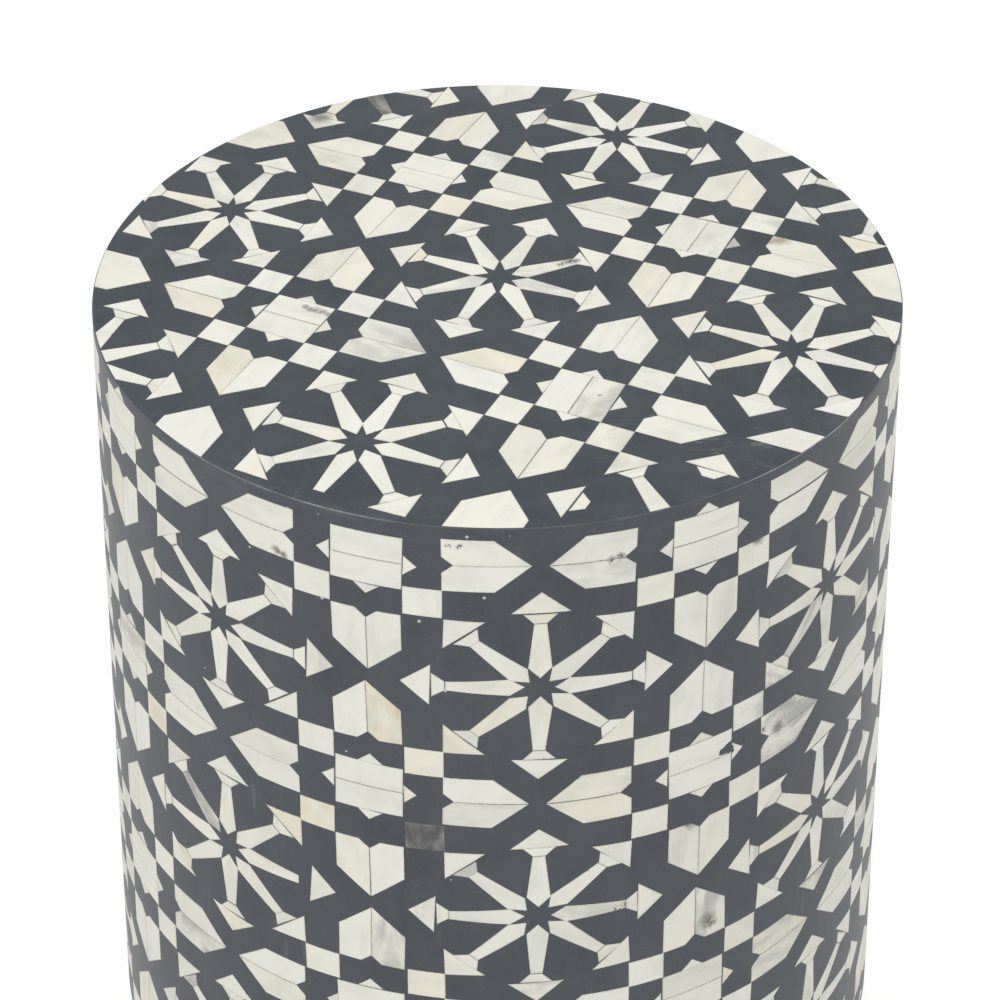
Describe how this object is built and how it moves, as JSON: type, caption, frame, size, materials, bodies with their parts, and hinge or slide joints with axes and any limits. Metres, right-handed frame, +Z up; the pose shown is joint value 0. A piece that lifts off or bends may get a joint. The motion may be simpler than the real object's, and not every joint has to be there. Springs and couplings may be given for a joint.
{
  "type": "bone inlay drum stool",
  "caption": "Round drum stool with a flat top, covered in pale bone pieces set flush in dark resin as a repeating pattern of rosettes and stars",
  "frame": {"origin": "on the floor, on the drum's axis, level with the underside of the feet", "axes": "+Z up along the drum's axis; -Y towards the viewer of the picture; +X to the viewer's right"},
  "size_m": [0.406, 0.406, 0.44],
  "materials": {
    "dark_resin": "satin",
    "bone": "satin",
    "board_wood": "matte",
    "shell_ply": "matte",
    "rib_wood": "matte",
    "foot_rubber": "matte",
    "nail_steel": "satin"
  },
  "bodies": {
    "root": {"top_board": "board_wood", "base_board": "board_wood", "shell_back": "shell_ply", "shell_front": "shell_ply", "middle_hoop": "board_wood", "side_resin": "dark_resin", "rib_1": "rib_wood", "rib_2": "rib_wood", "rib_3": "rib_wood", "rib_4": "rib_wood", "rib_5": "rib_wood", "rib_6": "rib_wood", "rib_7": "rib_wood", "rib_8": "rib_wood", "foot_1": "foot_rubber", "foot_2": "foot_rubber", "foot_3": "foot_rubber", "foot_4": "foot_rubber", "foot_nails": "nail_steel", "top_rays": "bone", "top_collars": "bone", "top_arrowheads": "bone", "top_half_squares": "bone", "top_star_points": "bone", "top_small_squares": "bone", "top_left_leaves": "bone", "top_right_leaves": "bone", "top_rim_bones": "bone", "top_resin": "dark_resin"}
  },
  "joints": []
}
